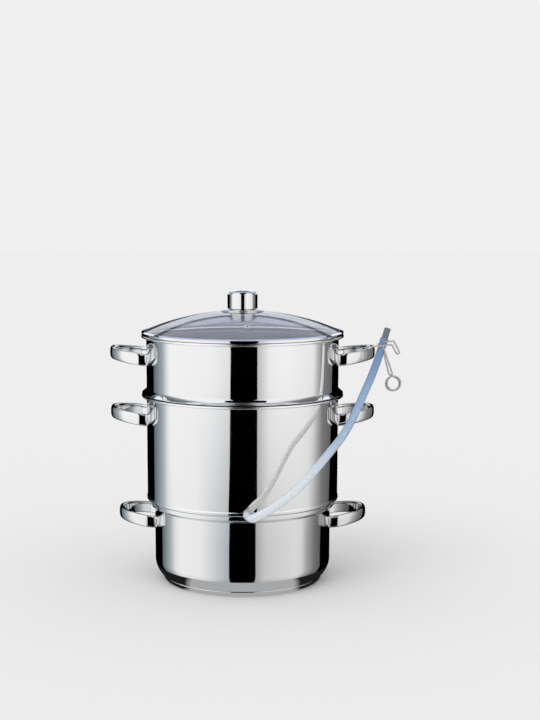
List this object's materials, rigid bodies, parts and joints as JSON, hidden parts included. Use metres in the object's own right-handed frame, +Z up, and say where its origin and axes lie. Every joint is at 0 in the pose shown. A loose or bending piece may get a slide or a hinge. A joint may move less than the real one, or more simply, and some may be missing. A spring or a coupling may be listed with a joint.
{
  "type": "steam juicer",
  "caption": "Tiered stainless steam juicer: water pan, juice kettle with a clamped outlet hose, steam basket and domed glass lid, which lift off one another.",
  "frame": {"origin": "middle of the flat underside of the pan's base, on the vessels' common axis", "axes": "+Z up through the tiers to the knob, +X through the right-hand handles, +Y away from the side that the outlet hose leaves"},
  "size_m": [0.3929, 0.2957, 0.3975],
  "materials": {
    "polished_steel": "mirror polished",
    "satin_steel": "satin",
    "wire_steel": "drawn wire",
    "aluminium": "plain",
    "silicone": "translucent, smooth",
    "grey_plastic": "smooth",
    "dark_rubber": "matt",
    "clear_glass": "clear, toughened"
  },
  "bodies": {
    "pan": {"pan_body": "polished_steel", "pan_base_cap": "satin_steel", "pan_base_core": "aluminium", "pan_handle_left": "polished_steel", "pan_handle_right": "polished_steel"},
    "kettle": {"kettle_body": "polished_steel", "kettle_funnel": "satin_steel", "kettle_spout": "polished_steel", "kettle_handle_left": "polished_steel", "kettle_handle_right": "polished_steel", "hose": "silicone", "hose_nozzle": "grey_plastic", "clamp_rear_wire": "wire_steel"},
    "clamp_jaw": {"clamp_front_wire": "wire_steel"},
    "basket": {"basket_body": "polished_steel", "basket_handle_left": "polished_steel", "basket_handle_right": "polished_steel"},
    "lid": {"lid_glass": "clear_glass", "lid_band": "polished_steel", "lid_knob": "polished_steel", "knob_dish": "polished_steel", "knob_gasket": "dark_rubber", "knob_washer": "satin_steel", "knob_screw": "satin_steel", "vent_eyelet": "polished_steel"}
  },
  "joints": [
    {"name": "kettle_lift", "type": "slide", "parent": "pan", "child": "kettle", "axis": [0, 0, 1], "range_m": [0, 0.12]},
    {"name": "basket_lift", "type": "slide", "parent": "kettle", "child": "basket", "axis": [0, 0, 1], "range_m": [0, 0.12]},
    {"name": "lid_lift", "type": "slide", "parent": "basket", "child": "lid", "axis": [0, 0, 1], "range_m": [0, 0.12]},
    {"name": "clamp_open", "type": "hinge", "parent": "kettle", "child": "clamp_jaw", "pos_m": [0.2014, -0.0425, 0.2761], "axis": [0.9588, 0, 0.284], "range_deg": [0, 10], "stiffness_Nm_per_rad": 0.12, "springref_deg": -28.65}
  ]
}
